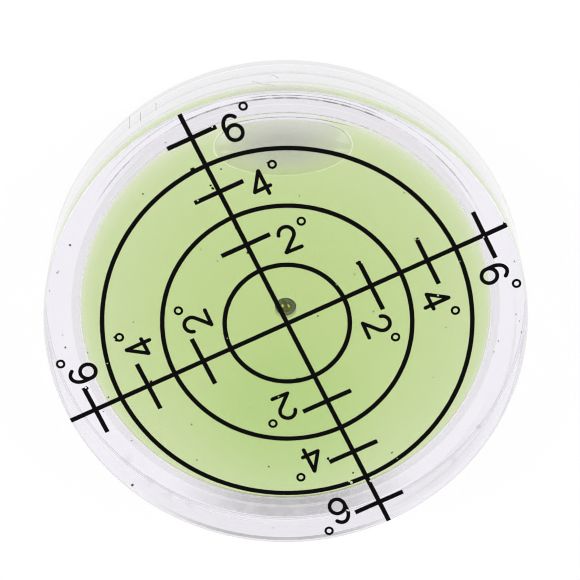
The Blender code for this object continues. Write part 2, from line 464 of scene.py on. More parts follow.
# %% Model the clear body
TOP_EDGE = 0.3 * MM
SEAM = 0.15 * MM
EDGE_STEPS = 6
GLUE = 0.02 * MM  # a film of cement, so that the two glued faces don't share one plane
CLOSE, NEARBY = 0.01 * MM, 0.05 * MM  # for telling the faces apart
section = [(0.0, TOP_Z), (OUTER_R * 0.5, TOP_Z), (OUTER_R - TOP_EDGE, TOP_Z)]
section += arc((OUTER_R - TOP_EDGE, TOP_Z - TOP_EDGE), TOP_EDGE, 90.0, 0.0, EDGE_STEPS)[1:]
section += [
    (OUTER_R, JOINT_Z + GLUE + SEAM),
    (OUTER_R - SEAM, JOINT_Z + GLUE),
    (SOCKET_R + MOUTH, JOINT_Z + GLUE),
    (SOCKET_R, JOINT_Z + MOUTH),
    (SOCKET_R, LEDGE_Z),
]
section += pocket_section(0.0, LEDGE_Z)
made = spun(section)
for face in made.faces:
    radius, height = face_place(face)
    pocket_face = radius < POCKET_R + CLOSE and LEDGE_Z < height < CEILING_Z + CLOSE
    on_joint = height < JOINT_Z + MOUTH
    in_socket = abs(radius - SOCKET_R) < NEARBY and height > JOINT_Z + MOUTH
    on_ledge = abs(height - LEDGE_Z) < CLOSE and radius > POCKET_R
    if pocket_face:
        face.material_index = IN_LIQUID
    elif on_joint or in_socket:
        face.material_index = IN_CEMENT
    elif on_ledge:
        face.material_index = IN_SHADED_CEMENT
    elif radius > OUTER_R - TOP_EDGE:
        face.material_index = RIM
    elif height > TOP_Z - TOP_EDGE:
        face.material_index = WINDOW
    else:
        face.material_index = IN_AIR
body = place("level_body", made, CLEAR)
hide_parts("clear_body")

# %% [markdown]
# ## Base plate
#
# The plate closes the cup from below. Its boss stands in the recess, and the filling hole goes
# through its middle. The underside and the mouth of the hole bend nothing here: the level lies flat
# on the table, so that one sees the white table through them with no dark ring.

# %% Model the base plate
BASE_EDGE = 0.3 * MM
section = [
    (HOLE_R, FLOOR_Z),
    (POCKET_R, FLOOR_Z),
    (BOSS_R, FLOOR_Z),
    (BOSS_R, JOINT_Z + MOUTH),
    (BOSS_R, JOINT_Z),
    (SOCKET_R + MOUTH, JOINT_Z),
    (OUTER_R - SEAM, JOINT_Z),
    (OUTER_R, JOINT_Z - SEAM),
    (OUTER_R, BASE_EDGE),
]
section += arc((OUTER_R - BASE_EDGE, BASE_EDGE), BASE_EDGE, 0.0, -90.0, EDGE_STEPS)[1:]
section += [(HOLE_R + MOUTH, 0.0), (HOLE_R, MOUTH)]
made = spun(section, closed=True)
for face in made.faces:
    radius, height = face_place(face)
    on_top = abs(height - FLOOR_Z) < CLOSE
    on_joint = height > JOINT_Z - SEAM and radius > SOCKET_R
    on_boss = abs(radius - BOSS_R) < NEARBY
    underneath = height < CLOSE or (radius < HOLE_R + MOUTH and height < MOUTH)
    if on_top and radius < POCKET_R:
        face.material_index = IN_LIQUID
    elif on_top:
        face.material_index = IN_SHADED_CEMENT
    elif on_joint or on_boss or underneath:
        face.material_index = IN_CEMENT
    elif radius > OUTER_R - BASE_EDGE:
        face.material_index = BASE_RIM
    else:
        face.material_index = IN_AIR
base = place("level_base", made, CLEAR)
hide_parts("base_plate")

# %% [markdown]
# ## Traces of cement and painted shade
#
# Where the cement of the two mouldings ends, it has left thin dark lines round the mouth of the
# recess. On the far side a grey sheet and a dark line under the top edge are painted shade: the
# shadow under the level's far edge. All are thin strips inside the acrylic, which only darken what
# lies behind them. Each strip is given by its two edges, by the side that it is on, and by how far it
# reaches round before it fades.

# %% Places of the traces
NEAR, FAR = NEAR_SIDE, NEAR_SIDE + 180.0
RIGHT, LEFT = NEAR - 53.0, NEAR + 50.0
TRACES_AND_PAINTED_SHADE = [
    # inner radius, height, outer radius, height, side, reach, fade, darkness, raggedness
    (29.32, 2.84, 29.58, 3.04, NEAR, 23.0, 8.0, 0.55, 0.4),
    (29.34, 2.84, 29.52, 2.98, NEAR, 50.0, 10.0, 0.22, 0.5),
    (29.34, 2.84, 29.52, 2.98, RIGHT, 5.0, 8.0, 0.30, 0.4),
    (29.34, 2.84, 29.52, 2.98, LEFT, 5.0, 8.0, 0.25, 0.4),
    (29.75, 2.84, 29.88, 2.90, NEAR - 8.0, 13.0, 7.0, 0.62, 0.5),
    (30.20, 2.84, 30.30, 2.91, NEAR, 35.0, 30.0, 0.45, 0.5),
    (28.55, 2.60, 29.22, 2.60, NEAR, 34.0, 26.0, 0.11, 0.1),
    (28.33, 9.80, 28.44, 9.80, NEAR - 2.0, 13.0, 6.0, 0.50, 0.4),
    # painted shade: the shadow under the level's far edge, as a grey sheet at the ledge's height
    (28.30, 6.36, 29.28, 6.36, FAR + 2.0, 6.0, 32.0, 0.37, 0.15),
    (29.30, 6.36, 29.58, 6.36, FAR + 2.0, 6.0, 32.0, 0.30, 0.15),
    (29.60, 6.36, 31.02, 6.36, FAR + 2.0, 6.0, 32.0, 0.37, 0.15),
    # painted shade: darkening along the far top edge
    (32.20, 13.62, 32.68, 13.62, FAR - 3.0, 11.0, 26.0, 0.40, 0.1),
    (29.75, 13.60, 32.15, 13.60, FAR + 10.0, 30.0, 35.0, 0.07, 0.1),
    (31.15, 13.62, 31.45, 13.62, FAR + 60.0, 22.0, 20.0, 0.09, 0.3),
]
print(len(TRACES_AND_PAINTED_SHADE), "traces of cement")

# %% Material of the traces
trace_and_shade_material, graph = new_material("cement_and_painted_shade")
coarse = graph.node(
    "ShaderNodeTexNoise", {}, {"Vector": object_places(graph), "Scale": 700.0, "Detail": 2.0}
)
broken = graph.node("ShaderNodeMapRange", {}, {"Value": coarse, "From Min": 0.45, "From Max": 0.6})
darkness, ragged = attribute(graph, "darkness"), attribute(graph, "ragged")
BLUE_LOSS = 0.04  # the cement is a little yellow
let_through = 1.0 - darkness * (1.0 - ragged * broken)
trace_tint = graph.node(
    "ShaderNodeCombineColor", {}, [let_through, let_through, let_through - darkness * BLUE_LOSS]
)
graph.finish("ShaderNodeOutputMaterial", glass(graph, 1.0, trace_tint))
print("cement_and_painted_shade:", len(graph.tree.nodes), "nodes")

# %% Draw the traces of cement and the painted shade
TRACE_THICKNESS = 0.01 * MM
TRACE_STEPS = 180


def trace_marks(made):
    """The two numbers that the material of the traces reads from the mesh."""
    return made.verts.layers.float.new("darkness"), made.verts.layers.float.new("ragged")


def trace(inner, outer, side, reach, fade, dark, rag):
    """A thin closed arc that fades towards its two ends, for the lines of cement and for the sheets
    of painted shade.
    """
    made = bmesh.new()
    darkness_mark, ragged_mark = trace_marks(made)
    along = Vector((outer[0] - inner[0], outer[1] - inner[1])).normalized()
    off = Vector((-along.y, along.x)) * TRACE_THICKNESS
    corners = [inner, outer]
    corners += [(corner[0] + off.x, corner[1] + off.y) for corner in (outer, inner)]
    points = [made.verts.new((radius, 0.0, height)) for radius, height in corners]
    face = made.faces.new(points)
    start, sweep = math.radians(side - reach - fade), math.radians(2.0 * (reach + fade))
    bmesh.ops.rotate(made, cent=(0, 0, 0), matrix=Matrix.Rotation(start, 3, "Z"), verts=made.verts)
    bmesh.ops.spin(
        made, geom=[face], cent=(0, 0, 0), axis=(0, 0, 1), angle=sweep, steps=TRACE_STEPS
    )
    bmesh.ops.recalc_face_normals(made, faces=made.faces)
    for vert in made.verts:
        turn = math.degrees(math.atan2(vert.co.y, vert.co.x)) - side
        turn = abs((turn + 180.0) % 360.0 - 180.0)
        share = min(max((reach + fade - turn) / fade, 0.0), 1.0)
        vert[darkness_mark] = dark * share * share * (3.0 - 2.0 * share)
        vert[ragged_mark] = rag
    return made


made = bmesh.new()
for inner_r, inner_z, outer_r, outer_z, *rest in TRACES_AND_PAINTED_SHADE:
    add_to(made, trace((inner_r * MM, inner_z * MM), (outer_r * MM, outer_z * MM), *rest))
traces = place("cement_lines_and_painted_shade", made, [trace_and_shade_material])

# %% [markdown]
# ## Liquid and bubble
#
# The liquid is one closed skin with the bubble as a hollow inside it. The skin lies a hair inside
# the pocket's walls, which already bend the light, so the skin itself bends nothing and only bounds
# the colour. The hollow does bend it: that is the bubble's own surface.

# %% Skin of the liquid
FILM = 0.01 * MM
liquid = spun([(0.0, FLOOR_Z + FILM)] + pocket_section(FILM, FLOOR_Z + FILM))
liquid.faces.layers.float.new("bubble")


def hollowed(part, mark):
    """Turns a form to the bubble's side and faces it inwards, so that it bounds a hollow."""
    turn = Matrix.Rotation(BUBBLE_AZIMUTH, 3, "Z")
    bmesh.ops.rotate(part, cent=(0, 0, 0), matrix=turn, verts=part.verts)
    bmesh.ops.recalc_face_normals(part, faces=part.faces)
    bmesh.ops.reverse_faces(part, faces=part.faces)
    layer = part.faces.layers.float.new("bubble")
    for face in part.faces:
        face[layer] = mark
    return part


print("skin of the liquid:", len(liquid.faces), "faces")

# %% [markdown]
# ## The bubble
#
# A bubble that is pressed against a ceiling and a wall isn't a ball: its upper side is the ceiling's
# own form, and its lower side bulges. A ball of radius one is squeezed into that form, point by
# point. The upper half is laid on the ceiling, and the lower half hangs down to the bubble's foot,
# steeper on the wall's side than on the side of the middle.

# %% Shape the bubble
CEILING_FILM = 0.03 * MM
DEEPEST_R, DEEPEST_Z = 27.2 * MM, 7.05 * MM  # the bubble's lowest line, against the pocket's wall
BUBBLE_RISE = 0.115  # slope of the bubble's underside from there towards the middle
FULLNESS, WALL_FULLNESS = 0.7, 0.45  # power of the bulge, and what the wall's side takes off it

bubble = bmesh.new()
bmesh.ops.create_uvsphere(bubble, u_segments=128, v_segments=80, radius=1.0)
for vert in bubble.verts:
    across, along, turn = vert.co
    span = math.hypot(across, along)
    vert.co.x = bubble_r + across * BUBBLE_WIDTH / 2
    vert.co.y = along * BUBBLE_LENGTH / 2
    radius = math.hypot(vert.co.x, vert.co.y)
    roof = roof_z(radius, CEILING_FILM)
    foot = DEEPEST_Z + max(DEEPEST_R - radius, 0.0) * BUBBLE_RISE
    power = FULLNESS - WALL_FULLNESS * max(across, 0.0) / max(span, 0.001)
    bulge = max(1.0 - span**2, 0.0) ** power
    vert.co.z = roof - (max(roof - foot, 0.0) * bulge if turn < 0.0 else 0.0)
lowest = min(vert.co.z for vert in bubble.verts)
print(f"the bubble hangs down to {lowest / MM:.2f} mm")

# %% [markdown]
# ## The pale line beside the bubble
#
# Round its inner side the bubble has a fine pale line, the bright line that the bubble's edge
# focuses. It is a painted highlight: a narrow hollow in the liquid that bends nothing, so light that
# runs along it isn't coloured, and so it looks pale. One face is extruded from row to row along an
# oval to make it.


# %% Shape the pale line
def swept(rows):
    """A closed bar, extruded from one row of corners to the next."""
    made = bmesh.new()
    face = made.faces.new([made.verts.new(corner) for corner in rows[0]])
    for row in rows[1:]:
        # with its edges given too, Blender deletes each face that would be left inside the bar
        end = [face, *face.edges, *face.verts]
        grown = bmesh.ops.extrude_face_region(made, geom=end)["geom"]
        face = next(item for item in grown if isinstance(item, bmesh.types.BMFace))
        for vert, corner in zip(face.verts, row):
            vert.co = corner
    bmesh.ops.recalc_face_normals(made, faces=made.faces)
    return made


PALE_GAP, PALE_WIDTH = 0.06 * MM, 0.16 * MM
PALE_SHALLOW, PALE_DEEP = 0.7 * MM, 2.2 * MM  # at the inner side, and at the bubble's two ends
PALE_REACH = 118.0  # degrees round the oval, to either hand
PALE_LEAN = 0.235  # how far it leans inwards for its depth
PALE_STEPS = 120

rows = []
for step in range(PALE_STEPS + 1):
    angle = math.radians(180.0 + PALE_REACH * (2.0 * step / PALE_STEPS - 1.0))
    depth = PALE_SHALLOW + (PALE_DEEP - PALE_SHALLOW) * math.sin(angle) ** 2
    row = []
    for offset, drop in ((0.0, 0.0), (PALE_WIDTH, 0.0), (PALE_WIDTH, depth), (0.0, depth)):
        x = bubble_r + (BUBBLE_WIDTH / 2 + PALE_GAP + offset) * math.cos(angle)
        y = (BUBBLE_LENGTH / 2 + PALE_GAP + offset) * math.sin(angle)
        height = roof_z(math.hypot(x, y), CEILING_FILM) - drop
        row.append((x - drop * PALE_LEAN, y, height))
    rows.append(row)
pale_line = swept(rows)
print("pale line:", len(pale_line.faces), "faces")

# %% Put the hollows into the liquid
add_to(liquid, hollowed(bubble, 1.0))
add_to(liquid, hollowed(pale_line, 0.0))
liquid = place("level_liquid", liquid, [green_liquid], sharp=60.0)
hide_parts("green_liquid")

# %% [markdown]
# ## Steel ball
#
# A small steel ball stops the filling hole. One sees it as a disc through liquid and window. Its
# flanks mirror the dark gap round it and its top mirrors the bright room, and at this size a ramp by
# height does that more steadily than reflections would: near black at the gap, grey above it. The
# steel's colours lean to lilac, because the green liquid takes that out again.

# %% Steel ball
BALL_Z = ball_low.z + BALL_R
STEEL = [  # height over the middle as a share of the radius, and colour
    (0.40, (0.05, 0.04, 0.07)),
    (0.55, (0.27, 0.24, 0.37)),
    (0.78, (0.30, 0.26, 0.42)),
    (0.88, (0.9, 0.55, 1.0)),
]
steel, graph = new_material("wet_steel")
height = graph.node("ShaderNodeSeparateXYZ", {}, [object_places(graph)], output="Z")
upwards = (height - BALL_Z) / BALL_R
steel_colour = graph.node("ShaderNodeValToRGB", {"stops": STEEL}, {"Fac": upwards})
steel_look = {"Base Color": steel_colour, "Roughness": 0.12, "Metallic": 0.5}
graph.finish(
    "ShaderNodeOutputMaterial", graph.node("ShaderNodeBsdfPrincipled", {}, steel_look)
)
made = bmesh.new()
bmesh.ops.create_uvsphere(made, u_segments=64, v_segments=32, radius=BALL_R)
bmesh.ops.translate(made, vec=(0.0, 0.0, BALL_Z), verts=made.verts)
ball = place("level_ball", made, [steel], sharp=90.0)
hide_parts("plug_ball")

# %% [markdown]
# ## The printed target
#
# The target is one layer of thick black ink: three rings, four arms with three ticks each, and the
# degrees beside the ticks. Each line is a pen stroke, a flat strip that is extruded from point to
# point along its path and given round ends. The strips become thin solids, a Boolean joins them into
# one layer, and a second Boolean takes out what has chipped off. The edges waver a little, as screen
# printed ink does.

# %% Sizes of the print
INK_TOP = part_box("graduation")[1].z
INK_SUNK = 0.01 * MM  # the ink reaches into the window, so that their faces don't share one plane
PRINT_OFFSET = Vector((0.09, -0.27, 0.0)) * MM
RING_RADII = [8.52 * MM, 17.02 * MM, 25.2 * MM]
TICK_RADII = [12.6 * MM, 21.05 * MM, 29.5 * MM]
TICK_LENGTH = 7.3 * MM
RING_STROKE, TICK_STROKE, DIGIT_STROKE, DEGREE_STROKE = 0.64 * MM, 0.64 * MM, 0.53 * MM, 0.32 * MM
ARM_REACH = OUTER_R - 0.06 * MM
WAVER = 0.022 * MM
WAVER_LONG, WAVER_SHORT = (1100.0, 0.7), (4000.0, 0.4)  # waves per metre, and share
WAVER_PLACES = Vector((9.3, -1.5, -8.0)), Vector((-4.7, 6.1, 2.9))  # so that x and y waver apart
print(f"ink from {TOP_Z / MM:.2f} to {INK_TOP / MM:.2f} mm")

# %% [markdown]
# ## Ink from strokes
#
# A stroke starts as one edge across the line. Each step extrudes the edge to the next point of the
# path. A ring is one edge that is spun, and a spot is a filled circle. All are flat at first, then
# one helper wavers their outline and gives them the ink's thickness.


# %% Thickness and wavering edges
def wavered(point):
    """A point of the print, moved a little by a noise that all strokes share."""
    shift = Vector((0.0, 0.0, 0.0))
    for waves, share in (WAVER_LONG, WAVER_SHORT):
        for axis, place_in_noise in enumerate(WAVER_PLACES):
            shift[axis] += noise.noise(point * waves + place_in_noise) * share
    return point + shift * WAVER


def inked(made, name):
    """Gives a flat bmesh the ink's thickness and returns it as a closed object."""
    bmesh.ops.remove_doubles(made, verts=made.verts, dist=0.001 * MM)
    bmesh.ops.recalc_face_normals(made, faces=made.faces)
    for vert in made.verts:
        vert.co = wavered(vert.co)
        vert.co.z = TOP_Z - INK_SUNK
    grown = bmesh.ops.extrude_face_region(made, geom=made.faces[:], use_keep_orig=True)
    for item in grown["geom"]:
        if isinstance(item, bmesh.types.BMVert):
            item.co.z = INK_TOP
    bmesh.ops.recalc_face_normals(made, faces=made.faces)
    return bpy.data.objects.new(name, mesh_from(made, name))


# %% Strokes, spots and rings
def stroke(points, width, round_ends=True):
    """Closed pieces of ink: a strip extruded from point to point, and a dot at each end."""
    made = bmesh.new()
    edge = None
    for number, point in enumerate(points):
        before, after = points[max(number - 1, 0)], points[min(number + 1, len(points) - 1)]
        along = (after - before).normalized()
        side = Vector((-along.y, along.x, 0.0)) * width / 2
        if edge is None:
            ends = [made.verts.new(point - side), made.verts.new(point + side)]
            edge = made.edges.new(ends)
            continue
        grown = bmesh.ops.extrude_edge_only(made, edges=[edge])["geom"]
        edge = next(item for item in grown if isinstance(item, bmesh.types.BMEdge))
        far_ends = []
        for end in ends:
            links = [link.other_vert(end) for link in end.link_edges]
            far_ends.append(next(vert for vert in links if vert in edge.verts))
        far_ends[0].co, far_ends[1].co = point - side, point + side
        ends = far_ends
    pieces = [inked(made, "strip")]
    if round_ends:
        pieces += [dot(points[0], width / 2), dot(points[-1], width / 2)]
    return pieces


RAGGED_WAVES = 2.5  # for each radius of a spot
OWN_WAVES = 5000.0  # per metre of its place, so that no two spots are alike


def dot(centre, radius, sides=20, ragged=0.0):
    """A round or ragged spot of ink."""
    made = bmesh.new()
    bmesh.ops.create_circle(made, cap_ends=True, segments=sides, radius=radius)
    for vert in made.verts:
        place_in_noise = vert.co * RAGGED_WAVES / radius + centre * OWN_WAVES
        vert.co *= 1.0 + ragged * noise.noise(place_in_noise)
    bmesh.ops.translate(made, vec=centre, verts=made.verts)
    return inked(made, "dot")


def ring(centre, radius, width, steps):
    """A closed ring of ink."""
    made = bmesh.new()
    reaches = radius - width / 2, radius + width / 2
    ends = [made.verts.new((reach, 0.0, 0.0)) for reach in reaches]
    edge = made.edges.new(ends)
    bmesh.ops.spin(
        made,
        geom=[*ends, edge],
        cent=(0, 0, 0),
        axis=(0, 0, 1),
        angle=math.tau,
        steps=steps,
        use_merge=True,
    )
    bmesh.ops.translate(made, vec=centre, verts=made.verts)
    return inked(made, "ring")


# %% [markdown]
# ## Paths of the figures
#
# The figures stand on their arm's right with their feet towards the centre. Each is drawn in its own
# small frame, right and up, from its tick's height on the arm. Round stretches are arcs, so a figure
# has only the few sizes that one would give a sign writer.

# %% Paths of the figures
def at(right, up):
    return Vector((right, up, 0.0)) * MM


def run(start, end, steps=10):
    """Points on a straight line."""
    return [start.lerp(end, step / steps) for step in range(steps + 1)]


def bow(centre, radii, start, end, steps=28):
    """Points on an arc of an ellipse, with angles in degrees from the figure's right."""
    points = []
    for step in range(steps + 1):
        angle = math.radians(start + (end - start) * step / steps)
        points.append(centre + at(radii[0] * math.cos(angle), radii[1] * math.sin(angle)))
    return points


def figure_two():
    head = bow(at(5.55, -0.88), (1.05, 1.05), 168, -46)
    foot = at(4.42, -3.29)
    return [head + run(head[-1], foot)[1:], run(foot, at(6.70, -3.38))]


def figure_four():
    stem_top, corner = at(6.03, 0.38), at(4.31, -2.15)
    return [
        run(stem_top, at(6.03, -3.10)),
        run(at(5.99, 0.36), corner),
        run(corner, at(6.62, -2.13)),
    ]


def figure_six():
    bowl = bow(at(5.53, -1.85), (1.05, 1.08), 180, -180, 40)
    back = bow(at(5.62, -0.92), (1.15, 1.60), 42, 180)
    return [back + run(back[-1], bowl[0])[1:], bowl]


FIGURES = [figure_two, figure_four, figure_six]
DEGREE_SIGNS = [at(8.17, -0.10), at(8.13, 0.42), at(8.13, 1.02)]
DEGREE_RADIUS = 0.49 * MM
print("points of each figure:", [sum(map(len, figure())) for figure in FIGURES])

# %% [markdown]
# ## Small shifts of the print
#
# The real print isn't exact: ticks and figures sit up to a third of a millimetre off their regular
# places. Each arm has its three ticks and its three figures here, from the middle outwards.

# %% Shifts of ticks and figures
TICK_SHIFTS = [
    [at(0.15, 0.02), at(0.06, -0.02), at(0.0, 0.0)],
    [at(-0.14, 0.07), at(-0.06, 0.03), at(0.03, 0.05)],
    [at(-0.03, 0.12), at(-0.09, 0.05), at(-0.06, -0.29)],
    [at(0.03, 0.07), at(0.0, 0.0), at(0.04, -0.02)],
]
FIGURE_SHIFTS = [
    [at(0.04, -0.06), at(0.09, -0.05), at(0.13, 0.02)],
    [at(-0.07, 0.02), at(-0.04, 0.05), at(0.03, 0.06)],
    [at(-0.07, 0.03), at(-0.02, 0.02), at(-0.04, -0.05)],
    [at(-0.01, -0.04), at(0.05, -0.07), at(0.03, -0.09)],
]
print("largest shift:", round(max(s.length for row in TICK_SHIFTS for s in row) / MM, 2), "mm")

# %% [markdown]
# ## Wear of the print
#
# The print has chips, breaks and a few splashes. Each is given by its arm, the distance from the
# centre along it and the distance to its left, with its radius, in millimetres.

# %% Chips and splashes
CHIPS = [
    # arm 0
    (0, 20.2, -5.2, 0.13),
    (0, 29.3, -0.25, 0.12),
    (0, 20.85, 3.45, 0.14),
    (0, 21.2, 3.3, 0.09),
    (0, 24.95, -2.0, 0.08),
    (0, 8.45, 2.2, 0.09),
    # arm 1
    (1, 21.25, 3.15, 0.14),
    (1, 29.75, -3.15, 0.13),
    (1, 17.1, -3.2, 0.08),
    (1, 25.35, 4.6, 0.1),
    (1, 24.8, 6.2, 0.08),
    # arm 2
    (2, 28.95, -3.5, 0.16),
    (2, 25.3, 4.0, 0.09),
    (2, 24.7, -5.4, 0.1),
    (2, 8.3, -1.6, 0.08),
    # arm 3
    (3, 26.1, 0.27, 0.17),
    (3, 25.15, -2.25, 0.2),
    (3, 24.85, -2.4, 0.17),
    (3, 28.8, -4.4, 0.17),
    (3, 28.65, -4.55, 0.12),
    (3, 11.75, -6.3, 0.12),
    (3, 9.2, -5.75, 0.1),
    (3, 24.6, 5.0, 0.08),
]
SPLASHES = [
    # arm 0
    (0, 12.55, 3.7, 0.34),
    (0, 12.3, 3.8, 0.2),
    (0, 11.3, -3.5, 0.07),
    (0, 32.6, 0.4, 0.14),
    # arm 1
    (1, 21.9, 0.58, 0.2),
    (1, 22.4, 0.63, 0.17),
    (1, 11.6, 0.35, 0.18),
    (1, 15.4, 0.27, 0.16),
    (1, 25.5, 1.8, 0.3),
    (1, 22.0, -7.6, 0.12),
    # arm 2
    (2, 28.9, -3.35, 0.3),
    (2, 29.2, 2.6, 0.1),
    (2, 20.5, -0.35, 0.22),
    (2, 22.1, -7.9, 0.16),
    (2, 22.1, -8.4, 0.16),
    (2, 21.35, -7.65, 0.14),
    # arm 3
    (3, 20.5, -3.6, 0.2),
    (3, 12.8, -7.75, 0.13),
    (3, 7.95, -2.3, 0.2),
    (3, 29.1, -4.6, 0.12),
]
print(len(CHIPS), "chips and", len(SPLASHES), "splashes")


# %% [markdown]
# ## Drawing the target
#
# Rings first, then the cross, then a tick and a figure for each ring on each arm. The arms of the
# cross get more points near their ends, where the ink will bend down over the rounded edge.


# %% Draw the target
def on_arm(arm, along, left):
    """A place on the window, from an arm's number, the distance along it and that to its left."""
    turned = Matrix.Rotation(math.radians(90.0 * arm), 3, "Z") @ Vector((along, left, 0.0))
    return turned + PRINT_OFFSET


RING_STEPS, SIGN_STEPS, ARM_STEPS, BEND_STEPS, TICK_STEPS = 360, 32, 160, 8, 30
BEND = 0.4 * MM  # of the arm's end, which follows the rounded edge
SPLASH_SIDES, RAGGED = 12, 0.5
strokes = [ring(PRINT_OFFSET, radius, RING_STROKE, RING_STEPS) for radius in RING_RADII]
for axis in (Vector((1.0, 0.0, 0.0)), Vector((0.0, 1.0, 0.0))):
    middle = PRINT_OFFSET - axis * PRINT_OFFSET.dot(axis)
    left, right = middle - axis * ARM_REACH, middle + axis * ARM_REACH
    bends = left + axis * BEND, right - axis * BEND
    points = run(left, bends[0], BEND_STEPS)
    points += run(*bends, ARM_STEPS)[1:]
    points += run(bends[1], right, BEND_STEPS)[1:]
    strokes += stroke(points, RING_STROKE, False)
for arm in range(4):
    for number, tick in enumerate(TICK_RADII):
        moved = TICK_SHIFTS[arm][number]
        half = TICK_LENGTH / 2
        ends = [on_arm(arm, tick + moved.y, reach - moved.x) for reach in (half, -half)]
        strokes += stroke(run(*ends, TICK_STEPS), TICK_STROKE, False)
        moved = FIGURE_SHIFTS[arm][number]
        for path in FIGURES[number]():
            points = [on_arm(arm, tick + (p + moved).y, -(p + moved).x) for p in path]
            strokes += stroke(points, DIGIT_STROKE)
        sign = DEGREE_SIGNS[number] + moved
        centre = on_arm(arm, tick + sign.y, -sign.x)
        strokes.append(ring(centre, DEGREE_RADIUS, DEGREE_STROKE, SIGN_STEPS))
for arm, along, left, radius in SPLASHES:
    centre = on_arm(arm, along * MM, left * MM)
    strokes.append(dot(centre, radius * MM, SPLASH_SIDES, RAGGED))
print(len(strokes), "strokes and spots of ink")

# %% [markdown]
# ## One layer of ink with its chips
#
# A Boolean with a whole collection joins all strokes at once, which is quicker and cleaner than one
# after the other. The chips are small ragged plugs that a second Boolean takes away.


# %% Helpers for joining and chipping
def join(target, pieces, operation):
    """Applies a Boolean with all the pieces at once, and removes them."""
    group = bpy.data.collections.new(operation.lower())
    bpy.context.scene.collection.children.link(group)
    for piece in pieces:
        group.objects.link(piece)
    cut = target.modifiers.new(operation.lower(), "BOOLEAN")
    cut.operation = operation
    cut.operand_type = "COLLECTION"
    cut.collection = group
    cut.solver = "EXACT"
    bpy.context.view_layer.update()
    shape = bpy.data.meshes.new_from_object(
        target.evaluated_get(bpy.context.evaluated_depsgraph_get())
    )
    target.modifiers.clear()
    target.data = shape
    for piece in pieces:
        bpy.data.objects.remove(piece)
    bpy.data.collections.remove(group)


CHIP_SIDES, CHIP_RAGGED, CHIP_WAVES, CHIP_DEPTH = 9, 0.6, 2.0, 0.4 * MM


def chip(centre, radius):
    """A small ragged plug that goes right through the ink."""
    made = bmesh.new()
    bmesh.ops.create_cone(
        made,
        cap_ends=True,
        segments=CHIP_SIDES,
        radius1=radius,
        radius2=radius,
        depth=CHIP_DEPTH,
    )
    for vert in made.verts:
        flat = Vector((vert.co.x, vert.co.y, 0.0))
        place_in_noise = flat * CHIP_WAVES / radius + centre * OWN_WAVES
        vert.co += flat * CHIP_RAGGED * noise.noise(place_in_noise)
    bmesh.ops.translate(made, vec=centre + Vector((0.0, 0.0, INK_TOP)), verts=made.verts)
    bmesh.ops.recalc_face_normals(made, faces=made.faces)
    return bpy.data.objects.new("chip", mesh_from(made, "chip"))


# %% Join the ink, chip it and lay it over the edge
INK = {"Base Color": (0.003, 0.0025, 0.003), "Roughness": 0.6, "Specular IOR Level": 0.05}
ink = plain_material("black_ink", INK)
target = strokes.pop(0)
bpy.context.scene.collection.objects.link(target)
join(target, strokes, "UNION")
chips = [chip(on_arm(arm, along * MM, left * MM), r * MM) for arm, along, left, r in CHIPS]
join(target, chips, "DIFFERENCE")
for vert in target.data.vertices:
    past = math.hypot(vert.co.x, vert.co.y) - (OUTER_R - TOP_EDGE)
    if past > 0.0:
        vert.co.z -= TOP_EDGE - math.sqrt(max(TOP_EDGE**2 - past**2, 0.0))
target.name = target.data.name = "printed_target"
target.data.materials.clear()
target.data.materials.append(ink)
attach(target, "root")
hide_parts("graduation")
print("printed_target:", len(target.data.polygons), "faces")

# %% [markdown]
# ## Wear of the acrylic
#
# The level has been handled. Specks of dust and small pits lie on the window, short scratches run up
# the side, and faint smudges lie inside the rim. The specks are the same ragged spots as the ink's
# splashes, pressed flat.

# %% Specks of dust
SPECKS = [
    # x, y, radius, all in millimetres
    (-21.4, 22.7, 0.16),
    (-24.8, 19.9, 0.10),
    (-24.5, 20.0, 0.08),
    (-26.9, 18.0, 0.09),
    (-9.3, 25.0, 0.12),
    (-28.7, 9.7, 0.13),
    (-28.2, 11.5, 0.08),
    (-18.7, 9.0, 0.10),
    (-26.7, 0.6, 0.13),
    (-28.3, -1.0, 0.09),
    (-26.3, 7.7, 0.09),
    (-29.6, -12.6, 0.19),
    (-26.7, -6.6, 0.10),
    (-18.2, -8.0, 0.10),
    (-19.9, -13.1, 0.12),
    (-11.4, -18.3, 0.12),
    (-1.3, -24.2, 0.14),
    (4.8, -23.8, 0.13),
    (-14.9, -26.9, 0.08),
    (4.3, -1.1, 0.12),
    (31.7, -5.5, 0.10),
    (28.7, -12.6, 0.09),
    (28.7, -13.7, 0.09),
    (24.9, -15.1, 0.10),
    (23.7, -16.3, 0.09),
    (28.3, -15.3, 0.09),
    (19.3, -10.2, 0.09),
    (1.7, 23.6, 0.12),
    (11.4, 2.2, 0.1),
    (22.4, 9.9, 0.1),
    (9.5, 15.6, 0.08),
    (-5.8, 14.5, 0.09),
    (-4.5, 12.0, 0.09),
    (14.6, -16.1, 0.08),
    (-3.3, 30.2, 0.09),
]
SPECK_SIDES, SPECK_RISE, SPECK_SUNK = 9, 0.01 * MM, 0.005 * MM
DUST = {"Base Color": (0.07, 0.075, 0.06), "Roughness": 0.9, "Specular IOR Level": 0.0}

made = bmesh.new()
for x, y, radius in SPECKS:
    spot = dot(Vector((x, y, 0.0)) * MM, radius * MM, SPECK_SIDES, RAGGED)
    made.from_mesh(spot.data)
    bpy.data.objects.remove(spot)
for vert in made.verts:
    vert.co.z = TOP_Z + (SPECK_RISE if vert.co.z > TOP_Z else -SPECK_SUNK)
specks = place("dust_specks", made, [plain_material("grey_dust", DUST)])

# %% [markdown]
# ## Scratches on the side
#
# A scratch is a very thin bar that is swept along the wall, half sunk into it. It is see-through
# grey, because a fine scratch in acrylic scatters light but doesn't hide what lies behind it.

